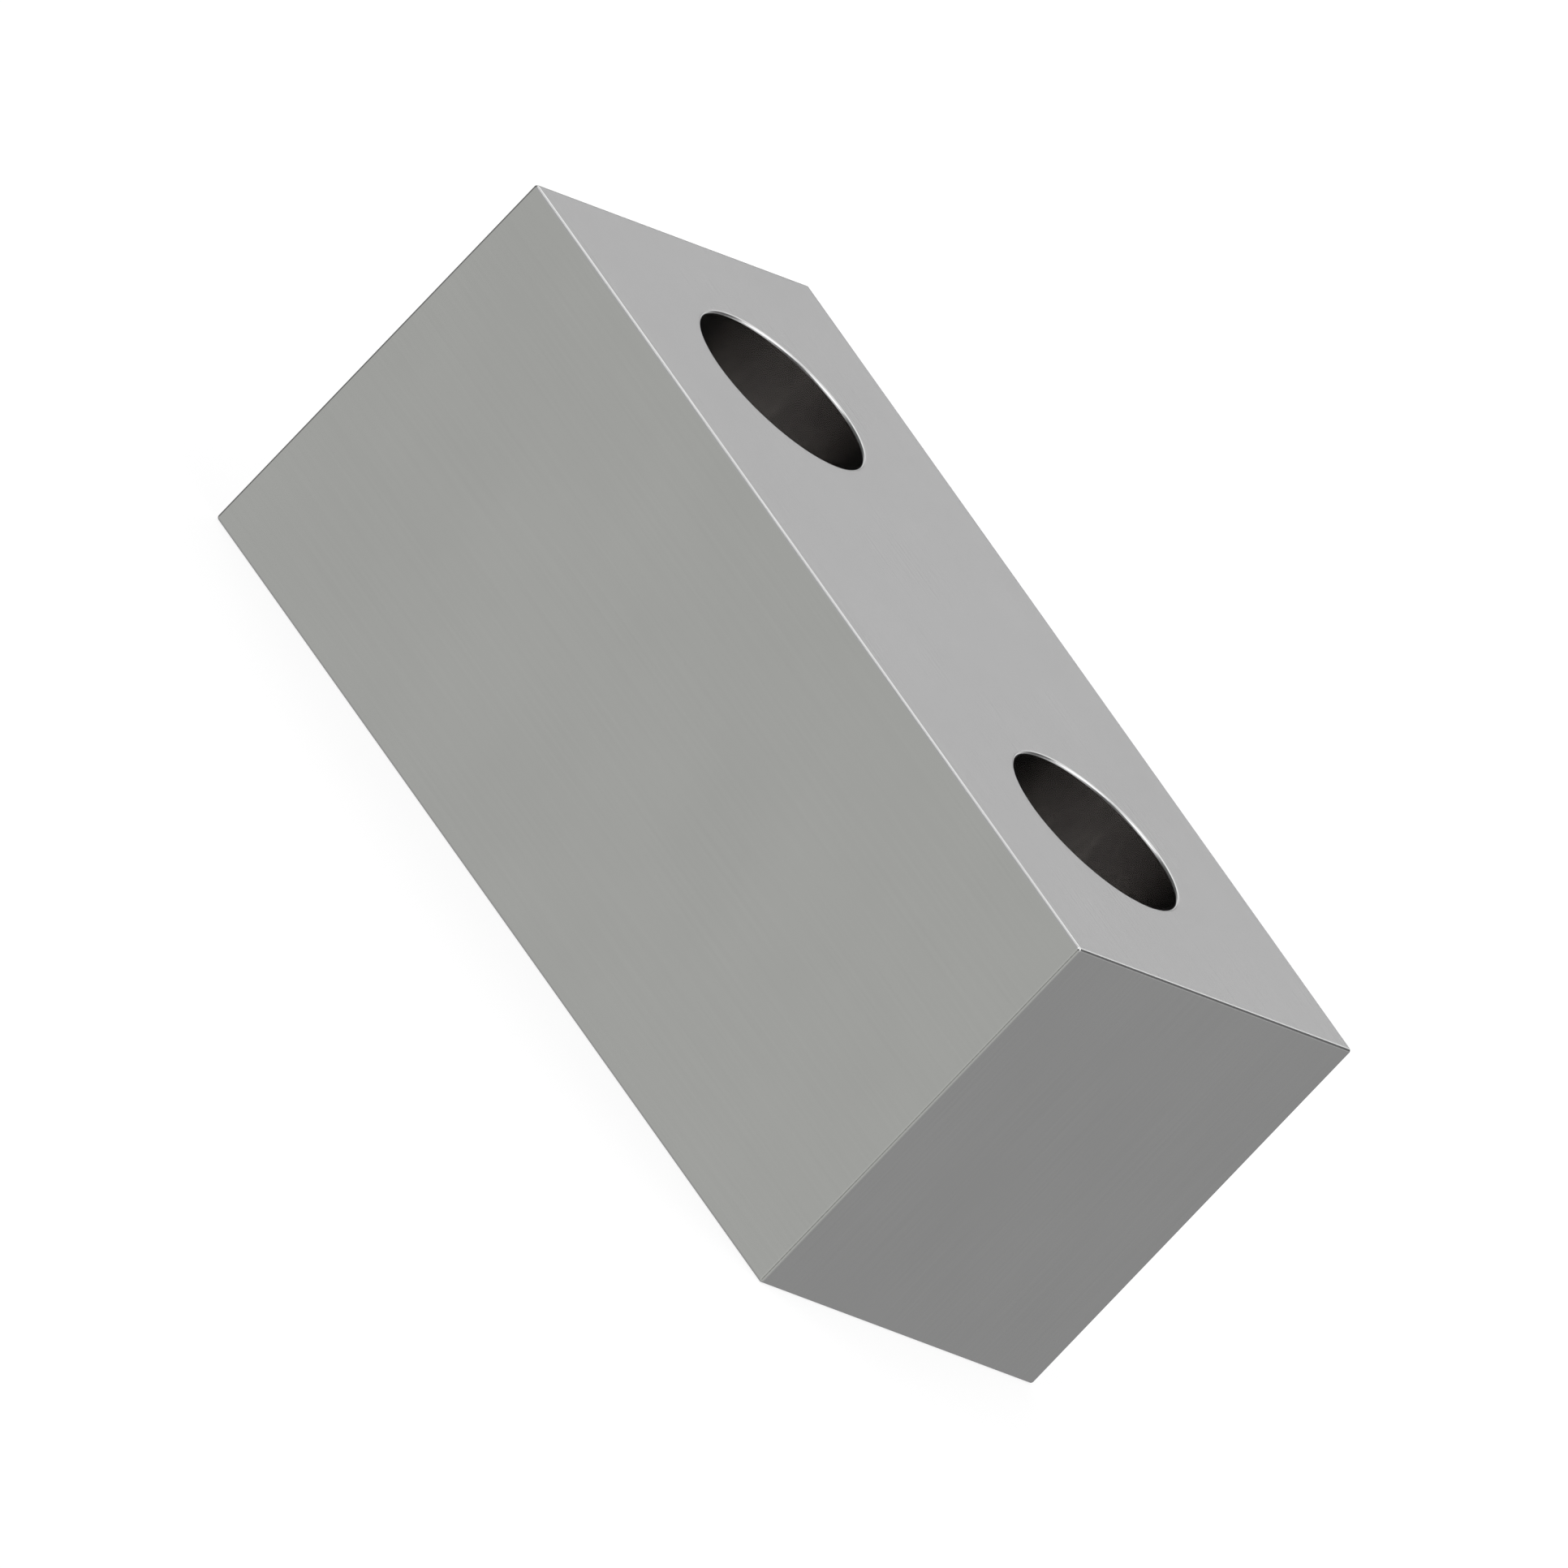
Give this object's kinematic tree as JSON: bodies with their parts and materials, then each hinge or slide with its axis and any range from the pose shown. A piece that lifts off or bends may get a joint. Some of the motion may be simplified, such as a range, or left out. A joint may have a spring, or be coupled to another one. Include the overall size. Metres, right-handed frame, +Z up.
{
  "type": "spacer bar",
  "caption": "Short square steel bar drilled through with plain clearance bores, for holding bolted parts a set distance apart.",
  "frame": {"origin": "middle of the bottom face, which is one of the two faces that the bores open in", "axes": "+Z up along the bores, +X along the bar towards the end that is farther from its bore, +Y across the bar"},
  "size_m": [0.0458, 0.02, 0.02],
  "materials": {
    "steel": "fine satin ground, with edges just broken"
  },
  "bodies": {
    "root": {"spacer_bar": "steel"}
  },
  "joints": []
}
